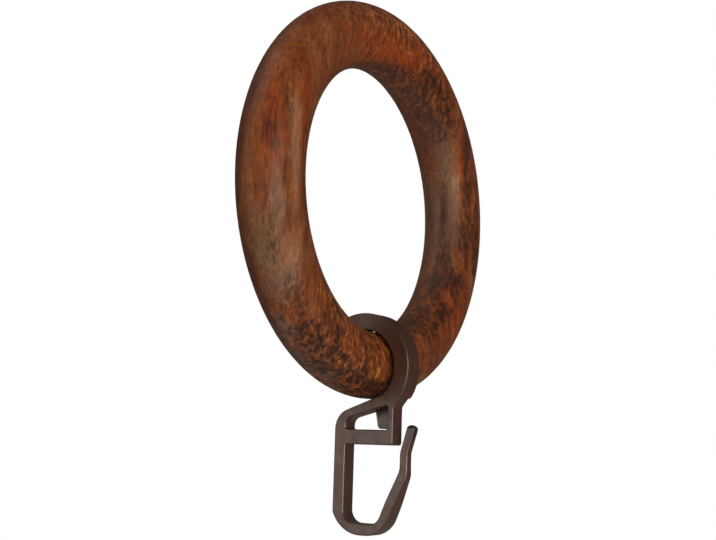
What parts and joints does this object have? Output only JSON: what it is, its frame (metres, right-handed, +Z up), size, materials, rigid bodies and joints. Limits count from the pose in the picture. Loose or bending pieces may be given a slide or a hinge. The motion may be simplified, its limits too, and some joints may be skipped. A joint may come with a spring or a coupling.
{
  "type": "wooden curtain ring with hook",
  "caption": "Stained wooden curtain ring with a dark plastic hook clipped round it; the hook's sprung tongue holds the heading tape.",
  "frame": {"origin": "centre of the ring's hole, on the axis of the curtain pole", "axes": "+Y along the pole, +Z up, the hook hanging towards -Z"},
  "size_m": [0.06, 0.0168, 0.0797],
  "materials": {
    "stained_wood": "satin lacquer over dark stain",
    "brown_plastic": "moulded, satin"
  },
  "bodies": {
    "ring": {"wooden_ring": "stained_wood"},
    "hook": {"hook": "brown_plastic"}
  },
  "joints": [
    {"name": "hook_swing", "type": "hinge", "parent": "ring", "child": "hook", "pos_m": [0, 0, -0.025], "axis": [1, 0, 0], "continuous": true}
  ]
}
